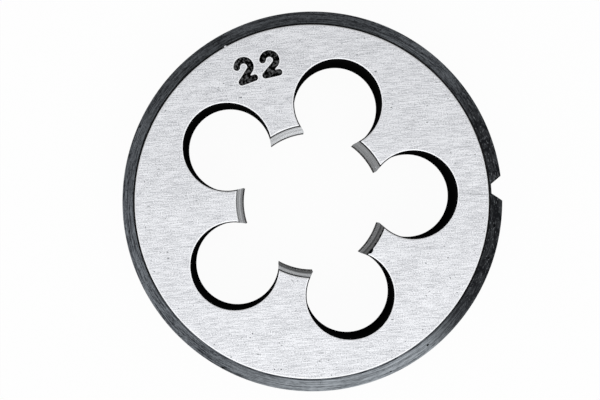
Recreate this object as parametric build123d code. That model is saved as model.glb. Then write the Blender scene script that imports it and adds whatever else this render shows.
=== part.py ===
from build123d import *
from math import asin, ceil, cos, degrees, radians, sin, sqrt, tan
import os

# A closed round threading die for a metric fine thread, in millimetres.
# It lies on its back face: +Z is the die's axis, and +X points to the notch in the rim.
# It is one piece of steel: a turned blank with a ring of chip holes drilled through it,
# which leave as many threaded lands standing round the bore.

# Body
body_diameter = 55.0
body_thickness = 16.0
rim_chamfer = 2.0

# Thread that the die cuts, and the tapered lead-in at each end of it
thread_diameter = 22.0
thread_pitch = 1.5
thread_flank_angle = 30.0
lead_in_turns = 1.75
lead_in_relief = 0.05

# Chip holes, and the lands that they leave between them
chip_hole_count = 5
chip_hole_diameter = 12.6
chip_hole_edge_break = 0.1
land_width = 5.1

# Notch through the rim for the holder's middle screw
notch_depth = 1.7
notch_floor_width = 1.5
notch_flank_angle = 34.0

# Conical seats in the rim for the holder's other screws
screw_seat_diameter = 4.0
screw_seat_flank_angle = 45.0
screw_seat_bearings = (-120.0, -60.0, 60.0, 120.0)

# How far each cutter runs on past the face that it cuts
overrun = 1.0
thread_cutter_overrun = 0.2
thread_cutter_overrun_angle = 5.0

# Sizes that follow from the ones above
body_radius = body_diameter / 2
face_radius = body_radius - rim_chamfer
fundamental_triangle = thread_pitch * sqrt(3) / 2
thread_depth = fundamental_triangle * 5 / 8
root_radius = thread_diameter / 2
crest_radius = root_radius - thread_depth
root_flat = thread_pitch / 8
lead_in_radius = root_radius + lead_in_relief
lead_in_depth = lead_in_turns * thread_pitch
chip_hole_radius = chip_hole_diameter / 2
chip_hole_spacing = 360.0 / chip_hole_count
land_half_angle = degrees(asin(land_width / 2 / crest_radius))


def chip_circle_radius():
    """Distance of the chip holes from the axis that leaves lands of land_width at their crests."""
    corner_angle = radians(chip_hole_spacing / 2 - land_half_angle)
    corner_along = crest_radius * cos(corner_angle)
    corner_across = crest_radius * sin(corner_angle)
    return corner_along + sqrt(chip_hole_radius**2 - corner_across**2)


def turned_blank():
    """The ring as it leaves the lathe: chamfered rim, flat faces, bore and its two lead-ins."""
    half_section = Polyline(
        (crest_radius, lead_in_depth),
        (lead_in_radius, 0),
        (face_radius, 0),
        (body_radius, rim_chamfer),
        (body_radius, body_thickness - rim_chamfer),
        (face_radius, body_thickness),
        (lead_in_radius, body_thickness),
        (crest_radius, body_thickness - lead_in_depth),
        close=True,
    )
    return revolve(make_face(Plane.XZ * half_section), Axis.Z)


def chip_holes():
    """The ring of round holes that clears the chips, each with its edge broken at both faces."""
    mouth_radius = chip_hole_radius + chip_hole_edge_break + overrun
    half_section = Polyline(
        (0, -overrun),
        (mouth_radius, -overrun),
        (chip_hole_radius, chip_hole_edge_break),
        (chip_hole_radius, body_thickness - chip_hole_edge_break),
        (mouth_radius, body_thickness + overrun),
        (0, body_thickness + overrun),
        close=True,
    )
    hole = revolve(make_face(Plane.XZ * half_section), Axis.Z)
    return PolarLocations(chip_circle_radius(), chip_hole_count) * hole


def thread_space():
    """One turn's share of the thread groove on one land, centred on +X at the height z = 0."""
    half_span = land_half_angle + thread_cutter_overrun_angle
    rise = thread_pitch * 2 * half_span / 360
    start_turn = Pos(0, 0, -rise / 2) * Rot(0, 0, -half_span)
    path = start_turn * Helix(thread_pitch, rise, crest_radius)
    mouth_radius = crest_radius - thread_cutter_overrun
    mouth_half = root_flat / 2 + (root_radius - mouth_radius) * tan(radians(thread_flank_angle))
    outline = Polyline(
        (mouth_radius, -mouth_half),
        (root_radius, -root_flat / 2),
        (root_radius, root_flat / 2),
        (mouth_radius, mouth_half),
        close=True,
    )
    return sweep(start_turn * make_face(Plane.XZ * outline), path=path, is_frenet=True)


def thread_spaces():
    """The whole right-hand internal thread: a stack of spaces on each land, rising with the helix."""
    space = thread_space()
    spaces = []
    for land in range(chip_hole_count):
        bearing = (land + 0.5) * chip_hole_spacing
        first_height = thread_pitch * bearing / 360 - thread_pitch
        for turn in range(ceil(body_thickness / thread_pitch) + 2):
            height = first_height + turn * thread_pitch
            spaces.append(Pos(0, 0, height) * Rot(0, 0, bearing) * space)
    return spaces


def rim_notch():
    """The flat-floored V across the rim, in line with the first chip hole."""
    floor_at = body_radius - notch_depth
    mouth_at = body_radius + overrun
    mouth_half = notch_floor_width / 2 + (mouth_at - floor_at) * tan(radians(notch_flank_angle))
    outline = Polyline(
        (floor_at, -notch_floor_width / 2),
        (mouth_at, -mouth_half),
        (mouth_at, mouth_half),
        (floor_at, notch_floor_width / 2),
        close=True,
    )
    return extrude(make_face(outline), amount=body_thickness)


def screw_seats():
    """The shallow cones round the rim at mid height, which the holder's screws press into."""
    slope = tan(radians(screw_seat_flank_angle))
    depth = screw_seat_diameter / 2 / slope
    mouth = screw_seat_diameter / 2 + overrun * slope
    cone = Cone(0, mouth, depth + overrun, align=(Align.CENTER, Align.CENTER, Align.MIN))
    seat = Pos(body_radius - depth, 0, body_thickness / 2) * Rot(0, 90, 0) * cone
    return [Rot(0, 0, bearing) * seat for bearing in screw_seat_bearings]


def threading_die():
    """The finished die as one solid."""
    die = turned_blank() - chip_holes() - thread_spaces() - rim_notch() - screw_seats()
    die.label = "threading_die"
    return die


os.makedirs("parts", exist_ok=True)
export_step(threading_die(), "parts/threading_die.step")
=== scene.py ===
from math import asin, cos, pi, radians, sin, sqrt, tan

import bmesh
import bpy
from bpy.props import FloatProperty, FloatVectorProperty, IntProperty, PointerProperty
from mathutils import Matrix, Vector


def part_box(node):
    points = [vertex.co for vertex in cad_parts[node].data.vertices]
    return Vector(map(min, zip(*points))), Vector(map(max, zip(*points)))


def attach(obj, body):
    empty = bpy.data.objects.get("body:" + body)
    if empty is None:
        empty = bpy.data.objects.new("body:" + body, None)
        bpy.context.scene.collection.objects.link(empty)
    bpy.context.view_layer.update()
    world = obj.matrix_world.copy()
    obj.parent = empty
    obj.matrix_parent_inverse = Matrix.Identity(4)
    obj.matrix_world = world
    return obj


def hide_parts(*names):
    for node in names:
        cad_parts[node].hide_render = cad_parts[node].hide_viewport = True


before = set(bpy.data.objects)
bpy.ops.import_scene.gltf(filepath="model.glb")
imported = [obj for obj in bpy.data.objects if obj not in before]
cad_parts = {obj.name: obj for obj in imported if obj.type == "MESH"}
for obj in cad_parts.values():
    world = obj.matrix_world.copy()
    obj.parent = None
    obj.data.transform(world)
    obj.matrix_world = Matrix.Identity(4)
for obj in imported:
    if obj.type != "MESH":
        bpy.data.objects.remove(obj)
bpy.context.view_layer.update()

bl_info = {
    "name": "Round threading die",
    "version": (1, 0, 0),
    "blender": (4, 5, 0),
    "location": "View3D > Sidebar > Threading die",
    "description": "Builds a closed round threading die with its ground, turned and threaded finishes",
    "category": "Add Mesh",
}

# The model is in metres, with its back face on the floor, its axis on +Z and its notch on +X
DIE_LOW, DIE_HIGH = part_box("threading_die")
MM = 0.001

# An edge that turns by more than this is sharp
SHARP_ANGLE = radians(6)

# Points nearer than this are one, in a turned outline and in the finished body
TURNED_WELD = 0.001 * MM
BODY_WELD = 0.0005 * MM


# Sizes and colours that a user would change


def length(name, description, default):
    """A length in metres that a user can change."""
    return FloatProperty(name=name, description=description, default=default, unit="LENGTH",
                         precision=5)


def angle(name, description, degrees):
    """An angle that a user can change, with its default in degrees."""
    return FloatProperty(name=name, description=description, default=radians(degrees),
                         subtype="ANGLE")


def colour(name, description, default):
    """A colour that a user can change."""
    return FloatVectorProperty(name=name, description=description, default=default,
                               subtype="COLOR", min=0.0, max=1.0)


class DieSizes(bpy.types.PropertyGroup):
    """Sizes of the die's body, thread, holes and edges."""

    body_radius: length("Body radius", "Radius of the rim", min(-DIE_LOW.x, -DIE_LOW.y))
    thickness: length("Thickness", "Distance between the two ground faces", DIE_HIGH.z)
    rim_chamfer: length("Rim chamfer", "Leg of the chamfer at each end of the rim", 2.06 * MM)
    rim_drift: length("Rim drift", "Shift of the upper chamfer's inner circle", 0.13 * MM)
    rim_drift_bearing: angle("Rim drift bearing", "Direction of that shift", 202.0)
    thread_radius: length("Thread radius", "Radius at the roots of the thread", 11.0 * MM)
    thread_pitch: length("Thread pitch", "Rise of the thread in one turn", 1.5 * MM)
    thread_start: angle("Thread start", "Bearing at which the thread meets the face", 90.0)
    lead_in_turns: FloatProperty(
        name="Lead-in turns", description="Turns of thread that the taper takes in", default=1.75)
    lead_in_relief: length("Lead-in relief", "Clearance of the mouth outside the roots", 0.05 * MM)
    chip_hole_count: IntProperty(name="Chip holes", description="Number of chip holes", default=5)
    chip_hole_radius: length("Chip hole radius", "Radius of each chip hole at the face", 6.4 * MM)
    land_width: length("Land width", "Width of each land at the face", 4.85 * MM)
    notch_depth: length("Notch depth", "Depth of the notch in the rim", 1.7 * MM)
    notch_floor: length("Notch floor", "Width of the notch's flat floor", 1.35 * MM)
    notch_drift: length("Notch drift", "Shift of the notch from its true place", 0.15 * MM)
    notch_flank: angle("Notch flank", "Lean of each flank of the notch", 34.0)
    seat_radius: length("Screw seat radius", "Mouth radius of the seats in the rim", 2.0 * MM)
    edge_width: length("Dark edge width", "Width of the darkened edge of an opening", 0.15 * MM)
    edge_drop: length("Dark edge drop", "Depth of the darkened edge of an opening", 0.12 * MM)
    burnish_width: length("Burnished width", "Width of the bright band at an edge", 0.14 * MM)
    burnish_drop: length("Burnished drop", "Fall of the bright band at an edge", 0.02 * MM)
    mark_height: length("Mark height", "Height of the stamped figures", 3.95 * MM)
    mark_width: length("Mark width", "Width of the stamped figures", 2.95 * MM)
    mark_stroke: length("Mark stroke", "Width of the stamped strokes", 0.98 * MM)
    mark_depth: length("Mark depth", "Depth of the stamped strokes", 0.25 * MM)


class DieFinishes(bpy.types.PropertyGroup):
    """Colours of the die's finishes."""

    ground_light: colour("Ground, light", "Tops of the grinding marks", (0.89, 0.90, 0.93))
    ground_dark: colour("Ground, dark", "Valleys of the grinding marks", (0.47, 0.48, 0.505))
    ground_speck: colour("Ground, specks", "Small dark pores in the face", (0.20, 0.21, 0.22))
    burnished: colour("Burnished", "Bright metal along the edges", (0.78, 0.785, 0.80))
    turned_light: colour("Turned, light", "Ridges of the turned rim", (0.089, 0.097, 0.107))
    turned_spark: colour("Turned, sparks", "Bright specks on the rim", (0.150, 0.159, 0.170))
    turned_dark: colour("Turned, dark", "Grooves of the turned rim", (0.003, 0.004, 0.006))
    # Rim tones where it is worn, lightened further as a painted highlight
    worn_lit_light: colour("Polished, light", "Ridges where the rim is worn", (0.325, 0.352, 0.380))
    worn_lit_dark: colour("Polished, dark", "Grooves where the rim is worn", (0.100, 0.110, 0.122))
    edge_black: colour("Edge black", "Scale left on the edges", (0.004, 0.004, 0.004))
    # Hardening scale, made almost black as painted shade in the deep holes
    chip_scale_and_shade: colour("Chip hole black", "Hardening scale in the holes", (0.006, 0.006, 0.006))
    lead_in_light: colour("Lead-in, light", "Ridges of the cut steel", (0.96, 0.98, 1.0))
    lead_in_dark: colour("Lead-in, dark", "Grooves of the cut steel", (0.72, 0.735, 0.76))
    stamped_light: colour("Stamped, light", "Worn scale in the figures", (0.130, 0.132, 0.136))
    stamped_dark: colour("Stamped, dark", "Scale in the figures", (0.001, 0.001, 0.001))


def crest_radius(sizes):
    """The crests stand five eighths of the thread's fundamental triangle inside its roots."""
    return sizes.thread_radius - sizes.thread_pitch * sqrt(3) / 2 * 5 / 8


def mouth_radius(sizes):
    """Radius of the lead-in where it meets the face."""
    return sizes.thread_radius + sizes.lead_in_relief


def face_radius(sizes):
    """Radius at which the face ends and the rim's chamfer starts."""
    return sizes.body_radius - sizes.rim_chamfer


def chip_circle(sizes):
    """Distance of the chip holes from the axis that leaves lands of the stated width."""
    crest = crest_radius(sizes)
    corner = pi / sizes.chip_hole_count - asin(sizes.land_width / 2 / crest)
    return crest * cos(corner) + sqrt(sizes.chip_hole_radius**2 - (crest * sin(corner)) ** 2)


# Modelling helpers

FINISHES = ("ground_face", "burnished_edge", "dark_edge", "mouth_edge", "turned_rim", "rim_corner",
            "lead_in", "thread", "chip_hole", "notch", "stamping")


def new_piece(name, bm):
    """An object with that mesh, with every finish in its slots."""
    bmesh.ops.recalc_face_normals(bm, faces=bm.faces)
    mesh = bpy.data.meshes.new(name)
    bm.to_mesh(mesh)
    bm.free()
    for finish in FINISHES:
        mesh.materials.append(bpy.data.materials[finish])
    piece = bpy.data.objects.new(name, mesh)
    bpy.context.scene.collection.objects.link(piece)
    return piece


def give_finish(bm, finish):
    """Puts that finish on every face."""
    for face in bm.faces:
        face.material_index = FINISHES.index(finish)


def nearest_finish(bands, radius, height):
    """The finish of the band whose middle is nearest to that place."""
    return min(bands, key=lambda band: (band[0] - radius) ** 2 + (band[1] - height) ** 2)[2]


def turn(outline, steps, closed, rise=0.0, turns=1):
    """An outline of (radius, height, finish up to there), spun round Z and wound up by rise."""
    bm = bmesh.new()
    points = [bm.verts.new((radius, 0, height)) for radius, height, _ in outline]
    lines = [bm.edges.new(pair) for pair in zip(points, points[1:])]
    if closed:
        lines.append(bm.edges.new((points[-1], points[0])))
    bmesh.ops.spin(bm, geom=points + lines, cent=(0, 0, 0), axis=(0, 0, 1),
                   dvec=(0, 0, rise / steps), angle=2 * pi * turns, steps=steps * turns,
                   use_merge=rise == 0)
    bmesh.ops.remove_doubles(bm, verts=bm.verts, dist=TURNED_WELD)
    bands = [((r0 + r1) / 2, (z0 + z1) / 2, FINISHES.index(finish))
             for (r0, z0, _), (r1, z1, finish) in zip(outline, outline[1:] + outline[:1])]
    for face in bm.faces:
        middle = face.calc_center_median()
        face.material_index = nearest_finish(bands, middle.xy.length, middle.z)
    return bm


def evaluated(piece):
    """A new mesh of a piece with its modifiers applied."""
    depsgraph = bpy.context.evaluated_depsgraph_get()
    return bpy.data.meshes.new_from_object(piece.evaluated_get(depsgraph))


def evaluated_mesh(holder):
    """The mesh of a passing object with its modifiers applied. The object is removed."""
    bpy.context.scene.collection.objects.link(holder)
    mesh = evaluated(holder)
    bpy.data.objects.remove(holder)
    mesh.materials.clear()
    return mesh


def cut(piece, cutter):
    """Takes the cutter out of the piece, and leaves the cutter's finishes on what it cut.

    Shells inside one cutter may not overlap, or nothing may be left of the piece."""
    knife = piece.modifiers.new("cut", "BOOLEAN")
    knife.operation = "DIFFERENCE"
    knife.solver = "EXACT"
    knife.material_mode = "TRANSFER"
    knife.object = cutter
    mesh = evaluated(piece)
    if not mesh.polygons:
        raise RuntimeError(f"{cutter.name} left nothing of {piece.name}")
    piece.modifiers.clear()
    piece.data = mesh
    bpy.data.objects.remove(cutter)


def crisp_edges(piece):
    """Smooth shading, broken at each corner and wherever the finish changes."""
    bm = bmesh.new()
    bm.from_mesh(piece.data)
    bmesh.ops.remove_doubles(bm, verts=bm.verts, dist=BODY_WELD)
    bmesh.ops.dissolve_degenerate(bm, edges=bm.edges, dist=BODY_WELD)
    for face in bm.faces:
        face.smooth = True
    for edge in bm.edges:
        finishes = {face.material_index for face in edge.link_faces}
        edge.smooth = len(finishes) == 1 and edge.calc_face_angle(pi) < SHARP_ANGLE
    bm.to_mesh(piece.data)
    bm.free()


# The die's body, and the cutters that open it

# Steps in one turn of the blank, of a chip hole and of the thread. The thread's number shares no
# factor with the blank's, so that their points don't fall together
BLANK_STEPS = 360
DRILL_STEPS = 144
THREAD_STEPS = 167

# Width of the dark band at the lead-in's mouth and inside the chamfer, in dark edge widths
MOUTH_EDGE = 1.3
CORNER_EDGE = 2

# The thread's flank to its middle line, how far the tap's core stands inside the crests, and how
# many turns of it stand out at each end
THREAD_FLANK = radians(30)
TAP_CLEARANCE = 0.3 * MM
TAP_OVER_TURNS = 2

# How far the notch's and the screw seats' cutters stand out of the rim
NOTCH_OVER = 1.0 * MM
SEAT_OVER = 0.5 * MM

# Bearings in degrees, steps and tip radius of the screw seats
SEAT_BEARINGS = (-120, -60, 60, 120)
SEAT_STEPS = 64
SEAT_TIP = 0.001 * MM


def die_blank(sizes):
    """The turned ring: ground faces, chamfered rim and a bore with a lead-in at each end."""
    edge, fall = sizes.edge_width, sizes.edge_drop
    band, drop = sizes.burnish_width, sizes.burnish_drop
    half = sizes.thickness / 2
    mouth = mouth_radius(sizes)
    face = face_radius(sizes)
    lead = sizes.lead_in_turns * sizes.thread_pitch
    corner = CORNER_EDGE * edge
    upper = [
        (crest_radius(sizes), half - lead, "thread"),
        (mouth - MOUTH_EDGE * edge, half - drop - fall, "lead_in"),
        (mouth, half - drop, "mouth_edge"),
        (mouth + band, half, "burnished_edge"),
        (face - band, half, "ground_face"),
        (face, half - drop, "burnished_edge"),
        (face + corner, half - corner, "rim_corner"),
        (sizes.body_radius, half - sizes.rim_chamfer, "turned_rim"),
    ]
    finishes = [finish for _, _, finish in upper[1:]]
    lower = [(radius, -height, finish) for (radius, height, _), finish
             in zip(reversed(upper), ["turned_rim"] + finishes[::-1])]
    outline = [(radius, height + half, finish) for radius, height, finish in upper + lower]
    bm = turn(outline, BLANK_STEPS, True)
    inner_rings = [vert for vert in bm.verts
                   if vert.co.z > half and face - 2 * band < vert.co.xy.length < face + 3 * edge]
    drift = (sizes.rim_drift * cos(sizes.rim_drift_bearing),
             sizes.rim_drift * sin(sizes.rim_drift_bearing), 0)
    bmesh.ops.translate(bm, verts=inner_rings, vec=drift)
    return new_piece("threading_die_body", bm)


def chip_hole_cutter(sizes):
    """A drill with a deburring flare at each end, once for each chip hole."""
    half = sizes.thickness / 2
    edge, fall = sizes.edge_width, sizes.edge_drop
    band, drop = sizes.burnish_width, sizes.burnish_drop
    mouth = sizes.chip_hole_radius
    wall = mouth - edge
    flare = mouth + 2 * band
    outline = [
        (0, -half - drop, "chip_hole"),
        (flare, -half - drop, "burnished_edge"),
        (mouth, -half + drop, "burnished_edge"),
        (wall, -half + drop + fall, "dark_edge"),
        (wall, half - drop - fall, "chip_hole"),
        (mouth, half - drop, "dark_edge"),
        (flare, half + drop, "burnished_edge"),
        (0, half + drop, "burnished_edge"),
    ]
    drill = turn(outline, DRILL_STEPS, False)
    mesh = bpy.data.meshes.new("drill")
    drill.to_mesh(mesh)
    drill.free()
    mesh.transform(Matrix.Translation((chip_circle(sizes), 0, half)))
    bm = bmesh.new()
    for _ in range(sizes.chip_hole_count):
        bm.from_mesh(mesh)
        mesh.transform(Matrix.Rotation(2 * pi / sizes.chip_hole_count, 4, "Z"))
    bpy.data.meshes.remove(mesh)
    return new_piece("chip_hole_cutter", bm)


def thread_cutter(sizes):
    """A tap: one pitch of the thread's outline wound up round the axis, and capped.

    The flat at its roots is an eighth of the pitch wide."""
    pitch = sizes.thread_pitch
    core = crest_radius(sizes) - TAP_CLEARANCE
    root = pitch / 16
    mouth = root + (sizes.thread_radius - core) * tan(THREAD_FLANK)
    outline = [
        (core, -pitch / 2, "thread"),
        (core, -mouth, "thread"),
        (sizes.thread_radius, -root, "thread"),
        (sizes.thread_radius, root, "thread"),
        (core, mouth, "thread"),
        (core, pitch / 2, "thread"),
    ]
    turns = int(sizes.thickness / pitch) + 2 * TAP_OVER_TURNS
    bm = turn(outline, THREAD_STEPS, False, rise=pitch, turns=turns)
    ends = bmesh.ops.holes_fill(bm, edges=bm.edges, sides=0)["faces"]
    bmesh.ops.poke(bm, faces=ends)
    place = (Matrix.Translation((0, 0, -TAP_OVER_TURNS * pitch))
             @ Matrix.Rotation(sizes.thread_start, 4, "Z"))
    bmesh.ops.transform(bm, matrix=place, verts=bm.verts)
    half = sizes.thickness / 2
    for face in bm.faces:
        deep = abs(face.calc_center_median().z - half) < half - sizes.lead_in_turns * pitch
        face.material_index = FINISHES.index("thread" if deep else "lead_in")
    return new_piece("thread_cutter", bm)


def notch_cutter(sizes):
    """The flat-floored vee that crosses the rim on the +X side."""
    floor = sizes.body_radius - sizes.notch_depth
    mouth = sizes.body_radius + NOTCH_OVER
    half_floor = sizes.notch_floor / 2
    half_mouth = half_floor + (mouth - floor) * tan(sizes.notch_flank)
    corners = [(floor, -half_floor), (mouth, -half_mouth), (mouth, half_mouth), (floor, half_floor)]
    bm = bmesh.new()
    section = bm.faces.new([bm.verts.new((x, y + sizes.notch_drift, -NOTCH_OVER))
                            for x, y in corners])
    swept = bmesh.ops.extrude_face_region(bm, geom=[section])["geom"]
    bmesh.ops.translate(bm, verts=[v for v in swept if isinstance(v, bmesh.types.BMVert)],
                        vec=(0, 0, sizes.thickness + 2 * NOTCH_OVER))
    give_finish(bm, "notch")
    return new_piece("notch_cutter", bm)


def screw_seat_cutter(sizes):
    """Right-angled conical seats round the rim at mid height."""
    depth = sizes.seat_radius + SEAT_OVER
    middle = Vector((sizes.body_radius + SEAT_OVER - depth / 2, 0, sizes.thickness / 2))
    bm = bmesh.new()
    for bearing in SEAT_BEARINGS:
        cone = bmesh.ops.create_cone(bm, cap_ends=True, segments=SEAT_STEPS, radius1=SEAT_TIP,
                                     radius2=depth, depth=depth)["verts"]
        place = (Matrix.Rotation(radians(bearing), 4, "Z") @ Matrix.Translation(middle)
                 @ Matrix.Rotation(pi / 2, 4, "Y"))
        bmesh.ops.transform(bm, matrix=place, verts=cone)
    give_finish(bm, "notch")
    return new_piece("screw_seat_cutter", bm)


# The stamped figures

# The hook of a figure two: an arc between these bearings, in this many steps
HOOK_START = radians(165)
HOOK_END = radians(-38)
HOOK_STEPS = 20

# Millimetres between the points of a figure's skin
FIGURE_GRAIN = 0.06

# Distance from the axis, bearing and lean of each figure on the upper face
FIGURES = (
    (21.2 * MM, radians(113.7), radians(16.3)),
    (20.7 * MM, radians(103.5), radians(8.8)),
)


def figure_strokes(sizes):
    """The middle lines, in millimetres, of the hook and the foot of a figure two."""
    half_width = (sizes.mark_width - sizes.mark_stroke) / 2 / MM
    half_height = (sizes.mark_height - sizes.mark_stroke) / 2 / MM
    hook = []
    for step in range(HOOK_STEPS + 1):
        bearing = HOOK_START + (HOOK_END - HOOK_START) * step / HOOK_STEPS
        hook.append(Vector((half_width * cos(bearing),
                            half_height - half_width + half_width * sin(bearing), 0)))
    corner = Vector((-half_width, -half_height, 0))
    return hook + [corner], [corner, Vector((half_width, -half_height, 0))]


def swept_figure(sizes, width):
    """A figure two in millimetres, as a ball of this width would sweep it: one closed skin."""
    curve = bpy.data.curves.new("strokes", "CURVE")
    curve.dimensions = "3D"
    curve.bevel_depth = width / 2 / MM
    curve.bevel_resolution = 6
    curve.use_fill_caps = True
    strokes = figure_strokes(sizes)
    for stroke in strokes:
        line = curve.splines.new("POLY")
        line.points.add(len(stroke) - 1)
        for point, spot in zip(line.points, stroke):
            point.co = (*spot, 1)
    swept = evaluated_mesh(bpy.data.objects.new("strokes", curve))
    bm = bmesh.new()
    bm.from_mesh(swept)
    for spot in (strokes[0][0], *strokes[1]):
        bmesh.ops.create_uvsphere(bm, u_segments=24, v_segments=12, radius=width / 2 / MM,
                                  matrix=Matrix.Translation(spot))
    bm.to_mesh(swept)
    bm.free()
    holder = bpy.data.objects.new("swept", swept)
    skin = holder.modifiers.new("skin", "REMESH")
    skin.mode = "VOXEL"
    skin.voxel_size = FIGURE_GRAIN
    bm = bmesh.new()
    bm.from_mesh(evaluated_mesh(holder))
    return bm


def figure_bed_cutter(sizes, place):
    """A flat punch a little wider than a figure's strokes, for the bright metal round them."""
    bm = swept_figure(sizes, sizes.mark_stroke + 2 * sizes.burnish_width)
    # The plane is a little off the middle, so that it passes between the skin's points
    bmesh.ops.bisect_plane(bm, geom=bm.verts[:] + bm.edges[:] + bm.faces[:],
                           plane_co=(0, 0, FIGURE_GRAIN / 50), plane_no=(0, 0, 1),
                           clear_inner=True, clear_outer=True)
    bmesh.ops.remove_doubles(bm, verts=bm.verts, dist=FIGURE_GRAIN / 3)
    bmesh.ops.edgeloop_fill(bm, edges=bm.edges)
    bmesh.ops.scale(bm, vec=(MM, MM, MM), verts=bm.verts)
    bmesh.ops.translate(bm, vec=(0, 0, -sizes.burnish_drop), verts=bm.verts)
    grown = bmesh.ops.extrude_face_region(bm, geom=bm.faces[:])["geom"]
    bmesh.ops.translate(bm, vec=(0, 0, 3 * sizes.burnish_drop),
                        verts=[part for part in grown if isinstance(part, bmesh.types.BMVert)])
    bmesh.ops.recalc_face_normals(bm, faces=bm.faces)
    bmesh.ops.transform(bm, matrix=place, verts=bm.verts)
    give_finish(bm, "burnished_edge")
    return new_piece("figure_bed_cutter", bm)


def figure_cutter(sizes, place):
    """A round-edged punch for one figure two."""
    bm = swept_figure(sizes, sizes.mark_stroke)
    bmesh.ops.scale(bm, vec=(MM, MM, 2 * sizes.mark_depth / sizes.mark_stroke * MM), verts=bm.verts)
    bmesh.ops.transform(bm, matrix=place, verts=bm.verts)
    give_finish(bm, "stamping")
    return new_piece("figure_cutter", bm)


def stamp_figure(body, sizes, radius, bearing, lean):
    """Stamps one figure two into the upper face, with its top leaning by lean from +Y."""
    place = (Matrix.Translation((radius * cos(bearing), radius * sin(bearing), sizes.thickness))
             @ Matrix.Rotation(lean, 4, "Z"))
    cut(body, figure_bed_cutter(sizes, place))
    cut(body, figure_cutter(sizes, place))


# Wear

# Each pit: finish, distance from the axis, bearing in degrees, radial and tangential size, depth.
# No two of them may overlap
PITS = (
    # Ragged teeth along the mouth of one land, and a pale chip off the corner of another
    ("dark_edge", 10.98 * MM, -26.8, 0.40 * MM, 0.34 * MM, 0.16 * MM),
    ("dark_edge", 10.98 * MM, -30.7, 0.46 * MM, 0.50 * MM, 0.18 * MM),
    ("dark_edge", 10.90 * MM, -34.5, 0.40 * MM, 0.44 * MM, 0.16 * MM),
    ("dark_edge", 10.98 * MM, -38.0, 0.44 * MM, 0.46 * MM, 0.18 * MM),
    ("dark_edge", 11.02 * MM, -44.4, 0.56 * MM, 0.96 * MM, 0.20 * MM),
    ("burnished_edge", 10.42 * MM, 24.2, 0.40 * MM, 0.42 * MM, 0.16 * MM),
    # Pits and nicks on the chamfer and its two edges
    ("dark_edge", 26.57 * MM, -55.0, 0.34 * MM, 0.46 * MM, 0.08 * MM),
    ("dark_edge", 25.90 * MM, -54.2, 0.10 * MM, 0.50 * MM, 0.04 * MM),
    ("dark_edge", 27.07 * MM, -69.0, 0.24 * MM, 0.40 * MM, 0.05 * MM),
    ("dark_edge", 27.20 * MM, 152.8, 0.30 * MM, 0.50 * MM, 0.08 * MM),
    ("dark_edge", 27.30 * MM, 162.3, 0.26 * MM, 0.56 * MM, 0.07 * MM),
    ("dark_edge", 27.30 * MM, -122.0, 0.30 * MM, 0.70 * MM, 0.09 * MM),
    ("dark_edge", 25.80 * MM, -125.3, 0.24 * MM, 0.44 * MM, 0.05 * MM),
    ("dark_edge", 26.70 * MM, 127.9, 0.20 * MM, 0.28 * MM, 0.05 * MM),
    ("burnished_edge", 25.56 * MM, 115.8, 0.34 * MM, 0.42 * MM, 0.06 * MM),
    ("dark_edge", 26.48 * MM, -11.3, 0.60 * MM, 0.90 * MM, 0.06 * MM),
    ("dark_edge", 25.95 * MM, -18.6, 0.44 * MM, 0.60 * MM, 0.06 * MM),
    ("dark_edge", 26.75 * MM, -21.5, 0.36 * MM, 0.44 * MM, 0.06 * MM),
    ("burnished_edge", 26.47 * MM, -102.0, 0.18 * MM, 0.20 * MM, 0.04 * MM),
    ("dark_edge", 26.10 * MM, -91.3, 0.80 * MM, 0.07 * MM, 0.04 * MM),
    # Specks and two scratches on the ground face
    ("rim_corner", 20.88 * MM, -118.1, 0.22 * MM, 0.16 * MM, 0.03 * MM),
    ("rim_corner", 24.77 * MM, -106.5, 0.18 * MM, 0.16 * MM, 0.03 * MM),
    ("rim_corner", 24.57 * MM, -104.3, 0.18 * MM, 0.20 * MM, 0.03 * MM),
    ("rim_corner", 20.88 * MM, -107.0, 0.14 * MM, 0.20 * MM, 0.03 * MM),
    ("rim_corner", 24.30 * MM, -53.1, 0.16 * MM, 0.18 * MM, 0.03 * MM),
    ("rim_corner", 24.62 * MM, -9.3, 0.18 * MM, 0.18 * MM, 0.03 * MM),
    ("rim_corner", 25.02 * MM, -13.6, 0.16 * MM, 0.18 * MM, 0.03 * MM),
    ("rim_corner", 23.90 * MM, -1.4, 2.60 * MM, 0.035 * MM, 0.02 * MM),
    ("rim_corner", 21.80 * MM, -90.7, 0.05 * MM, 1.20 * MM, 0.02 * MM),
)


def pit_cutter(sizes):
    """The small pits and chipped spots that handling has left on the upper side."""
    bm = bmesh.new()
    chamfer_start = face_radius(sizes)
    mouth = mouth_radius(sizes)
    slope = sizes.lead_in_turns * sizes.thread_pitch / (mouth - crest_radius(sizes))
    for finish, radius, bearing, across, along, depth in PITS:
        chamfered = radius > chamfer_start
        fall = max(radius - chamfer_start, (mouth - radius) * slope, 0)
        pit = bmesh.ops.create_icosphere(bm, subdivisions=2, radius=1.0)["verts"]
        place = (Matrix.Rotation(radians(bearing), 4, "Z")
                 @ Matrix.Translation((radius, 0, sizes.thickness - fall))
                 @ Matrix.Rotation(pi / 4 if chamfered else 0, 4, "Y")
                 @ Matrix.Diagonal((across / 2, along / 2, depth, 1)))
        bmesh.ops.transform(bm, matrix=place, verts=pit)
        for vert in pit:
            for face in vert.link_faces:
                face.material_index = FINISHES.index(finish)
    return new_piece("pit_cutter", bm)


# Finishes

# The direction in which the face was ground, from the X axis
GRINDING_TURN = radians(3.7)

# Stretches of painted shade, painted highlight and wear round the rim in degrees: a bearing, how far
# from it the stretch starts, and how far from it the stretch is whole
# Painted shade beside the notch, where dark patches and sparks gather too
NOTCH_SHADE_AND_SCARS_STRETCH = (-4, 42, 22)
# A painted highlight on the chamfer, toward the side lamp
SIDE_HIGHLIGHT_STRETCH = (207, 72, 28)
# Wear and a painted highlight on the chamfer, toward the low lamp
WORN_HIGHLIGHT_STRETCH = (285, 48, 20)
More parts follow.
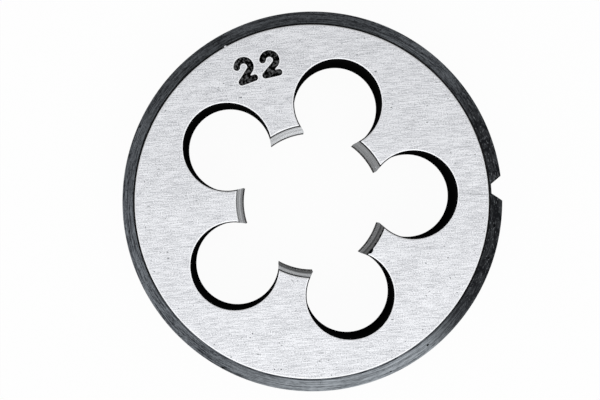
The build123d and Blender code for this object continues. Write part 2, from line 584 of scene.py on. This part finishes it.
# Where that painted highlight stops
HIGHLIGHT_CUTOFF_STRETCH = (352, 49, 33)
# A painted highlight on the band inside the chamfer
CORNER_HIGHLIGHT_STRETCH = (262, 62, 32)

# Heights over which the finish of the rim's side turns into its upper chamfer's
CHAMFER_FOOT = (13.7 * MM, 13.9 * MM)

# Heights over which the thread turns from painted shade deep in the bore to its lit tone
THREAD_LIT = (7.0 * MM, 9.0 * MM)

# Distances from the axis over which the lead-in's painted light and shade turn from its foot's into
# its mouth's
TAPER_REACH = (10.36 * MM, 10.62 * MM)

# Each land's bearing in degrees, and how light its painted light and shade make it at its dark edge,
# mouth, foot and bore wall
LAND_PAINTED_LIGHT = (
    (36, 0.016, 0.34, 0.34, 0.27),
    (108, 0.085, 0.72, 0.72, 0.80),
    (180, 0.34, 0.62, 0.50, 0.012),
    (252, 0.06, 0.64, 0.15, 0.04),
    (324, 0.003, 0.10, 0.24, 0.30),
)
EDGE, MOUTH, FOOT, WALL = 1, 2, 3, 4

# How far from a land's bearing its painted tones start, and how far from it they are whole, in degrees
LAND_REACH = (36, 33)


def node(tree, kind, inputs, **settings):
    """Adds a shader node. An input that is a socket is linked, and any other value is set."""
    made = tree.nodes.new("ShaderNode" + kind)
    for name, value in settings.items():
        setattr(made, name, value)
    for socket, value in inputs.items():
        if isinstance(value, bpy.types.NodeSocket):
            tree.links.new(value, made.inputs[socket])
        else:
            made.inputs[socket].default_value = value
    return made


def new_finish(name, sockets):
    """Makes a material and sets its shader's sockets. Returns its node tree and its shader."""
    material = bpy.data.materials.new(name)
    material.use_nodes = True
    shader = material.node_tree.nodes["Principled BSDF"]
    for socket, value in sockets.items():
        shader.inputs[socket].default_value = value
    return material.node_tree, shader


def object_place(tree):
    """The place that is shaded, in the die's own frame."""
    return node(tree, "TexCoord", {}).outputs["Object"]


def height_up(tree):
    """The height of a place above the back face."""
    return node(tree, "SeparateXYZ", {0: object_place(tree)}).outputs[2]


def flat_place(tree):
    """A place with its height taken out."""
    return node(tree, "VectorMath", {0: object_place(tree), 1: (1, 1, 0)},
                operation="MULTIPLY").outputs[0]


def distance_out(tree):
    """The distance of a place from the die's axis."""
    return node(tree, "VectorMath", {0: flat_place(tree)}, operation="LENGTH").outputs["Value"]


def straight_marks(tree, reach, width, detail):
    """Noise drawn out along the direction in which the face was ground."""
    drawn = node(tree, "Mapping", {"Vector": object_place(tree), "Rotation": (0, 0, GRINDING_TURN),
                                   "Scale": (1 / reach, 1 / width, 1 / width)},
                 vector_type="POINT")
    return node(tree, "TexNoise", {"Vector": drawn.outputs[0], "Scale": 1.0, "Detail": detail,
                                   "Roughness": 0.55}).outputs["Fac"]


def turned_marks(tree, reach, width, detail=3.0):
    """Noise drawn out along the circles that a tool leaves round the axis."""
    place = object_place(tree)
    across = node(tree, "Math", {0: distance_out(tree), 1: width}, operation="DIVIDE")
    drawn = node(tree, "Mapping", {"Vector": place, "Scale": (1 / reach, 1 / reach, 1 / width)})
    return node(tree, "TexNoise", {"Vector": drawn.outputs[0], "W": across.outputs[0],
                                   "Scale": 1.0, "Detail": detail, "Roughness": 0.6},
                noise_dimensions="4D").outputs["Fac"]


def blotches(tree, size, detail=2.0):
    """Noise with blotches of about that size."""
    return node(tree, "TexNoise", {"Vector": object_place(tree), "Scale": 1 / size,
                                   "Detail": detail, "Roughness": 0.5}).outputs["Fac"]


def spread(tree, value, low, high, to_low=0.0, to_high=1.0):
    """The value with its stretch from low to high laid over the stretch given."""
    return node(tree, "MapRange", {"Value": value, "From Min": low, "From Max": high,
                                   "To Min": to_low, "To Max": to_high}).outputs[0]


def graded(tree, share, at_none, at_full):
    """Goes from one value to the other as the share goes from 0 to 1."""
    return spread(tree, share, 0, 1, at_none, at_full)


def toward(tree, bearing, start, full):
    """Rises from 0 to 1 as a place turns from start to full degrees away from that bearing."""
    unit = node(tree, "VectorMath", {0: flat_place(tree)}, operation="NORMALIZE").outputs[0]
    heading = (cos(radians(bearing)), sin(radians(bearing)), 0)
    along = node(tree, "VectorMath", {0: unit, 1: heading}, operation="DOT_PRODUCT")
    return spread(tree, along.outputs["Value"], cos(radians(start)), cos(radians(full)))


def blend_values(tree, factor, first, second):
    """The first value where the factor is 0, and the second where it is 1."""
    return node(tree, "Mix", {0: factor, 2: first, 3: second}).outputs[0]


def blend_colours(tree, factor, first, second):
    """The first colour where the factor is 0, and the second where it is 1."""
    made = node(tree, "Mix", {0: factor}, data_type="RGBA")
    for socket, value in ((made.inputs[6], first), (made.inputs[7], second)):
        if isinstance(value, bpy.types.NodeSocket):
            tree.links.new(value, socket)
        else:
            socket.default_value = (*value, 1.0)
    return made.outputs[2]


def product(tree, first, second):
    """The product of two values."""
    return node(tree, "Math", {0: first, 1: second}, operation="MULTIPLY").outputs[0]


def scaled(tree, base, factor):
    """A colour made lighter or darker."""
    return node(tree, "VectorMath", {0: base, 3: factor}, operation="SCALE").outputs[0]


def painted_land_light(tree, which):
    """The painted light and shade of the land that a place is on, at its edge, mouth, foot or wall."""
    tone = 0.0
    for land in LAND_PAINTED_LIGHT:
        tone = node(tree, "Math", {0: toward(tree, land[0], *LAND_REACH), 1: land[which], 2: tone},
                    operation="MULTIPLY_ADD").outputs[0]
    return tone


def paint(tree, shader, base):
    """Gives the shader that colour."""
    tree.links.new(base, shader.inputs["Base Color"])


def bump(tree, shader, marks, distance):
    """Raises the marks off the surface by that distance."""
    made = node(tree, "Bump", {"Height": marks, "Distance": distance, "Strength": 1.0})
    tree.links.new(made.outputs[0], shader.inputs["Normal"])


def ground_face(finishes):
    """Flat ground steel, streaked and specked."""
    tree, shader = new_finish("ground_face", {"Metallic": 1.0, "Roughness": 0.42})
    long_marks = straight_marks(tree, 1.5 * MM, 0.075 * MM, 0.0)
    short_marks = straight_marks(tree, 0.18 * MM, 0.10 * MM, 0.0)
    clouds = straight_marks(tree, 6.0 * MM, 2.5 * MM, 1.0)
    marks = blend_values(tree, 0.58, long_marks, short_marks)
    marks = node(tree, "Math", {0: marks, 1: spread(tree, clouds, 0.3, 0.7, -0.02, 0.02)},
                 operation="ADD").outputs[0]
    base = blend_colours(tree, spread(tree, marks, 0.345, 0.612),
                         finishes.ground_dark, finishes.ground_light)
    specks = spread(tree, straight_marks(tree, 0.5 * MM, 0.3 * MM, 1.0), 0.22, 0.28)
    paint(tree, shader, blend_colours(tree, specks, finishes.ground_speck, base))
    bump(tree, shader, marks, 0.002 * MM)


def burnished_edge(finishes):
    """Bright metal rubbed smooth along an edge."""
    tree, shader = new_finish("burnished_edge", {"Metallic": 1.0, "Roughness": 0.35})
    paint(tree, shader, blend_colours(tree, spread(tree, blotches(tree, 0.5 * MM), 0.3, 0.7),
                                      finishes.ground_light, finishes.burnished))


def dark_edge(finishes):
    """Scale along the edge of a chip hole and in the pits."""
    tree, shader = new_finish("dark_edge", {"Roughness": 0.7, "Specular IOR Level": 0.0})
    paint(tree, shader, blend_colours(tree, spread(tree, blotches(tree, 0.4 * MM), 0.4, 0.8),
                                      finishes.edge_black, finishes.turned_dark))


def mouth_edge(finishes):
    """The outer edge of the lead-in, in its land's painted light and shade."""
    tree, shader = new_finish("mouth_edge", {"Metallic": 1.0, "Roughness": 0.5})
    base = blend_colours(tree, spread(tree, blotches(tree, 0.4 * MM), 0.35, 0.7),
                         finishes.lead_in_dark, finishes.lead_in_light)
    paint(tree, shader, scaled(tree, base, painted_land_light(tree, EDGE)))


def turned_rim(finishes):
    """Dark turned steel on the rim, with painted shade, painted highlights and wear on its upper
    chamfer.
    """
    tree, shader = new_finish("turned_rim", {"Metallic": 1.0, "Roughness": 0.36})
    lines = turned_marks(tree, 5.0 * MM, 0.12 * MM, detail=1.0)
    flecks = turned_marks(tree, 0.8 * MM, 0.25 * MM, detail=2.0)
    marks = blend_values(tree, 0.40, lines, flecks)
    share = spread(tree, marks, 0.41, 0.59)
    base = blend_colours(tree, share, finishes.turned_dark, finishes.turned_light)
    pores = spread(tree, blotches(tree, 0.17 * MM, detail=1.0), 0.34, 0.40)
    base = blend_colours(tree, pores, finishes.turned_dark, base)

    # Darker beside the notch as painted shade, and lighter along one stretch of the chamfer as a
    # painted highlight
    notch_shade_and_scars = toward(tree, *NOTCH_SHADE_AND_SCARS_STRETCH)
    chamfer = spread(tree, height_up(tree), *CHAMFER_FOOT)
    raised = graded(tree, toward(tree, *SIDE_HIGHLIGHT_STRETCH), 1.0, 2.05)
    lighter = blend_values(tree, chamfer, 1.0, raised)
    base = scaled(tree, scaled(tree, base, graded(tree, notch_shade_and_scars, 1.0, 0.54)), lighter)

    # Worn and lightened as a painted highlight along another stretch of it
    polished_and_lit = blend_colours(tree, share, finishes.worn_lit_dark, finishes.worn_lit_light)
    worn_and_lit = product(tree, toward(tree, *WORN_HIGHLIGHT_STRETCH),
                   graded(tree, toward(tree, *HIGHLIGHT_CUTOFF_STRETCH), 1.0, 0.0))
    base = blend_colours(tree, product(tree, worn_and_lit, chamfer), base, polished_and_lit)

    # Dark patches on it beside the notch, and bright sparks, most of them there
    scarred = product(tree, notch_shade_and_scars, chamfer)
    patches = product(tree, scarred, spread(tree, blotches(tree, 1.1 * MM), 0.46, 0.58))
    base = blend_colours(tree, patches, base, finishes.turned_dark)
    sparks = spread(tree, turned_marks(tree, 0.35 * MM, 0.16 * MM, detail=0.0), 0.66, 0.74)
    sparks = product(tree, sparks, graded(tree, scarred, 0.15, 1.0))
    paint(tree, shader, blend_colours(tree, sparks, base, finishes.turned_spark))
    bump(tree, shader, marks, 0.005 * MM)


def rim_corner(finishes):
    """The narrow band just inside the chamfer, dark but for a stretch lightened as a painted
    highlight.
    """
    tree, shader = new_finish("rim_corner", {"Metallic": 1.0, "Roughness": 0.4})
    base = blend_colours(tree, spread(tree, turned_marks(tree, 2.0 * MM, 0.2 * MM), 0.4, 0.75),
                         finishes.turned_dark, finishes.turned_light)
    # Painted highlight along one stretch, dark elsewhere
    worn_and_lit = graded(tree, toward(tree, *CORNER_HIGHLIGHT_STRETCH), 0.08, 2.2)
    paint(tree, shader, scaled(tree, base, worn_and_lit))


def lead_in(finishes):
    """Cut steel on the taper, in its land's painted light and shade."""
    tree, shader = new_finish("lead_in", {"Metallic": 1.0, "Roughness": 0.5})
    base = blend_colours(tree, spread(tree, turned_marks(tree, 3.0 * MM, 0.2 * MM), 0.35, 0.65),
                         finishes.lead_in_dark, finishes.lead_in_light)
    outward = spread(tree, distance_out(tree), *TAPER_REACH)
    tone = blend_values(tree, outward, painted_land_light(tree, FOOT), painted_land_light(tree, MOUTH))
    paint(tree, shader, scaled(tree, base, tone))


def thread(finishes):
    """Cut steel in the bore, in its land's painted light and shade above and painted shade deeper
    down.
    """
    tree, shader = new_finish("thread", {"Metallic": 1.0, "Roughness": 0.45})
    base = blend_colours(tree, spread(tree, turned_marks(tree, 2.0 * MM, 0.1 * MM), 0.35, 0.65),
                         finishes.lead_in_dark, finishes.lead_in_light)
    # Painted shade: almost black deep in the bore, lit toward the upper face
    lit = spread(tree, height_up(tree), *THREAD_LIT, 0.02, 1.0)
    base = scaled(tree, base, painted_land_light(tree, WALL))
    paint(tree, shader, scaled(tree, base, lit))


def chip_hole(finishes):
    """Black scale on the walls of the chip holes, made almost black as painted shade in the deep
    holes.
    """
    tree, shader = new_finish("chip_hole", {"Roughness": 0.7, "Specular IOR Level": 0.0})
    paint(tree, shader, blend_colours(tree, spread(tree, blotches(tree, 1.0 * MM), 0.3, 0.7),
                                      finishes.chip_scale_and_shade, finishes.edge_black))


def notch(finishes):
    """Dark steel in the notch and the screw seats."""
    tree, shader = new_finish("notch", {"Metallic": 1.0, "Roughness": 0.4})
    paint(tree, shader, blend_colours(tree, spread(tree, blotches(tree, 0.4 * MM), 0.3, 0.7),
                                      finishes.turned_dark, finishes.turned_light))


def stamping(finishes):
    """Mottled scale in the stamped figures."""
    tree, shader = new_finish("stamping", {"Roughness": 0.6, "Specular IOR Level": 0.0})
    mottle = spread(tree, blotches(tree, 0.34 * MM, detail=3.0), 0.50, 0.68)
    paint(tree, shader, blend_colours(tree, mottle, finishes.stamped_dark, finishes.stamped_light))


# Stage

# The floor's radius in metres, how far it lies below the die, and how much of it glows where it's seen
FLOOR_RADIUS = 3.0
FLOOR_GAP = 0.01 * MM
FLOOR_GLOW = 0.96

# Each lamp's name, its bearing and elevation in degrees, its distance, width and depth in metres, and
# the radiance of its face in W/m2/sr
LAMPS = (
    ("overhead_softbox", 268, 72, 1.1, 1.0, 1.0, 0.98),
    ("low_softbox", 283, 16, 0.55, 0.58, 0.30, 1.3),
    ("side_softbox", 211, 16, 0.60, 0.78, 0.33, 1.3),
    ("rear_softbox", 50, 16, 0.60, 0.36, 0.33, 1.4),
)

# The camera's place and aim, its lens in millimetres, and the bearing that is up in its picture
CAMERA_PLACE = Vector((-4.02, -1.08, 288.0)) * MM
CAMERA_AIM = Vector((-1.812, 0.300, 16.0)) * MM
CAMERA_LENS = 113.6
CAMERA_UP = radians(86.3)

WORLD_STRENGTH = 0.5


def floor_material():
    """Paint that looks white to the camera and in reflections, and lights the die as pale paint."""
    material = bpy.data.materials.new("pale_floor")
    material.use_nodes = True
    tree = material.node_tree
    tree.nodes.clear()
    rays = node(tree, "LightPath", {})
    seen = node(tree, "Math", {0: rays.outputs["Is Camera Ray"], 1: rays.outputs["Is Glossy Ray"]},
                operation="MAXIMUM")
    seen = node(tree, "Math", {0: seen.outputs[0], 1: rays.outputs["Is Transmission Ray"]},
                operation="MAXIMUM")
    share = product(tree, seen.outputs[0], FLOOR_GLOW)
    diffuse = node(tree, "BsdfDiffuse", {"Color": (0.92, 0.92, 0.92, 1.0)})
    glow = node(tree, "Emission", {"Color": (1.0, 1.0, 1.0, 1.0), "Strength": 1.0})
    mix = node(tree, "MixShader", {0: share, 1: diffuse.outputs[0], 2: glow.outputs[0]})
    node(tree, "OutputMaterial", {"Surface": mix.outputs[0]})
    return material


def build_floor():
    """A pale disc under the die."""
    bm = bmesh.new()
    bmesh.ops.create_circle(bm, cap_ends=True, segments=96, radius=FLOOR_RADIUS)
    bmesh.ops.translate(bm, verts=bm.verts, vec=(0, 0, -FLOOR_GAP))
    mesh = bpy.data.meshes.new("floor")
    bm.to_mesh(mesh)
    bm.free()
    mesh.materials.append(floor_material())
    floor = bpy.data.objects.new("floor", mesh)
    bpy.context.scene.collection.objects.link(floor)


def build_lamp(name, bearing, elevation, distance, width, depth, radiance):
    """A softbox that faces the die."""
    lamp = bpy.data.lights.new(name, "AREA")
    lamp.shape = "RECTANGLE"
    lamp.size = width
    lamp.size_y = depth
    lamp.energy = radiance * pi * width * depth
    around, up = radians(bearing), radians(elevation)
    place = Vector((cos(around) * cos(up), sin(around) * cos(up), sin(up)))
    holder = bpy.data.objects.new(name, lamp)
    holder.matrix_world = (Matrix.Translation(place * distance)
                           @ place.to_track_quat("Z", "Y").to_matrix().to_4x4())
    bpy.context.scene.collection.objects.link(holder)


def build_camera():
    """A camera nearly straight above the upper face."""
    lens = bpy.data.cameras.new("camera")
    lens.sensor_width = 36.0
    lens.lens = CAMERA_LENS
    lens.clip_start = 0.01
    camera = bpy.data.objects.new("camera", lens)
    back = (CAMERA_PLACE - CAMERA_AIM).normalized()
    up = Vector((cos(CAMERA_UP), sin(CAMERA_UP), 0))
    right = up.cross(back).normalized()
    up = back.cross(right)
    camera.matrix_world = (Matrix.Translation(CAMERA_PLACE)
                           @ Matrix((right, up, back)).transposed().to_4x4())
    bpy.context.scene.collection.objects.link(camera)
    bpy.context.scene.camera = camera


def build_world():
    """A dim white surround."""
    world = bpy.data.worlds.new("soft_white")
    world.use_nodes = True
    background = world.node_tree.nodes["Background"]
    background.inputs["Color"].default_value = (1, 1, 1, 1)
    background.inputs["Strength"].default_value = WORLD_STRENGTH
    bpy.context.scene.world = world


class DIE_OT_finishes(bpy.types.Operator):
    """Makes the die's finishes."""
    bl_idname = "die.finishes"
    bl_label = "Finishes"

    def execute(self, context):
        for finish in (ground_face, burnished_edge, dark_edge, mouth_edge, turned_rim, rim_corner,
                       lead_in, thread, chip_hole, notch, stamping):
            finish(context.scene.die_finishes)
        return {"FINISHED"}


class DIE_OT_body(bpy.types.Operator):
    """Builds the die's one-piece steel body."""
    bl_idname = "die.body"
    bl_label = "Die body"

    def execute(self, context):
        sizes = context.scene.die_sizes
        body = die_blank(sizes)
        cut(body, thread_cutter(sizes))
        cut(body, pit_cutter(sizes))
        cut(body, notch_cutter(sizes))
        cut(body, screw_seat_cutter(sizes))
        for place in FIGURES:
            stamp_figure(body, sizes, *place)
        cut(body, chip_hole_cutter(sizes))
        crisp_edges(body)
        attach(body, "root")
        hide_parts("threading_die")
        return {"FINISHED"}


class DIE_OT_stage(bpy.types.Operator):
    """Lays the floor and places the lamps and the camera."""
    bl_idname = "die.stage"
    bl_label = "Stage"

    def execute(self, context):
        build_world()
        build_floor()
        for lamp in LAMPS:
            build_lamp(*lamp)
        build_camera()
        context.scene.view_settings.view_transform = "Standard"
        return {"FINISHED"}


class DIE_PT_parts(bpy.types.Panel):
    """Lists what builds the die."""
    bl_idname = "DIE_PT_parts"
    bl_label = "Threading die"
    bl_space_type = "VIEW_3D"
    bl_region_type = "UI"
    bl_category = "Threading die"

    def draw(self, context):
        for operator in (DIE_OT_finishes, DIE_OT_body, DIE_OT_stage):
            self.layout.operator(operator.bl_idname)


CLASSES = (DieSizes, DieFinishes, DIE_OT_finishes, DIE_OT_body, DIE_OT_stage, DIE_PT_parts)


def register():
    for cls in CLASSES:
        bpy.utils.register_class(cls)
    bpy.types.Scene.die_sizes = PointerProperty(type=DieSizes)
    bpy.types.Scene.die_finishes = PointerProperty(type=DieFinishes)


def unregister():
    del bpy.types.Scene.die_finishes
    del bpy.types.Scene.die_sizes
    for cls in reversed(CLASSES):
        bpy.utils.unregister_class(cls)


def main():
    register()
    bpy.ops.die.finishes()
    bpy.ops.die.body()
    bpy.ops.die.stage()


if __name__ == "__main__":
    main()
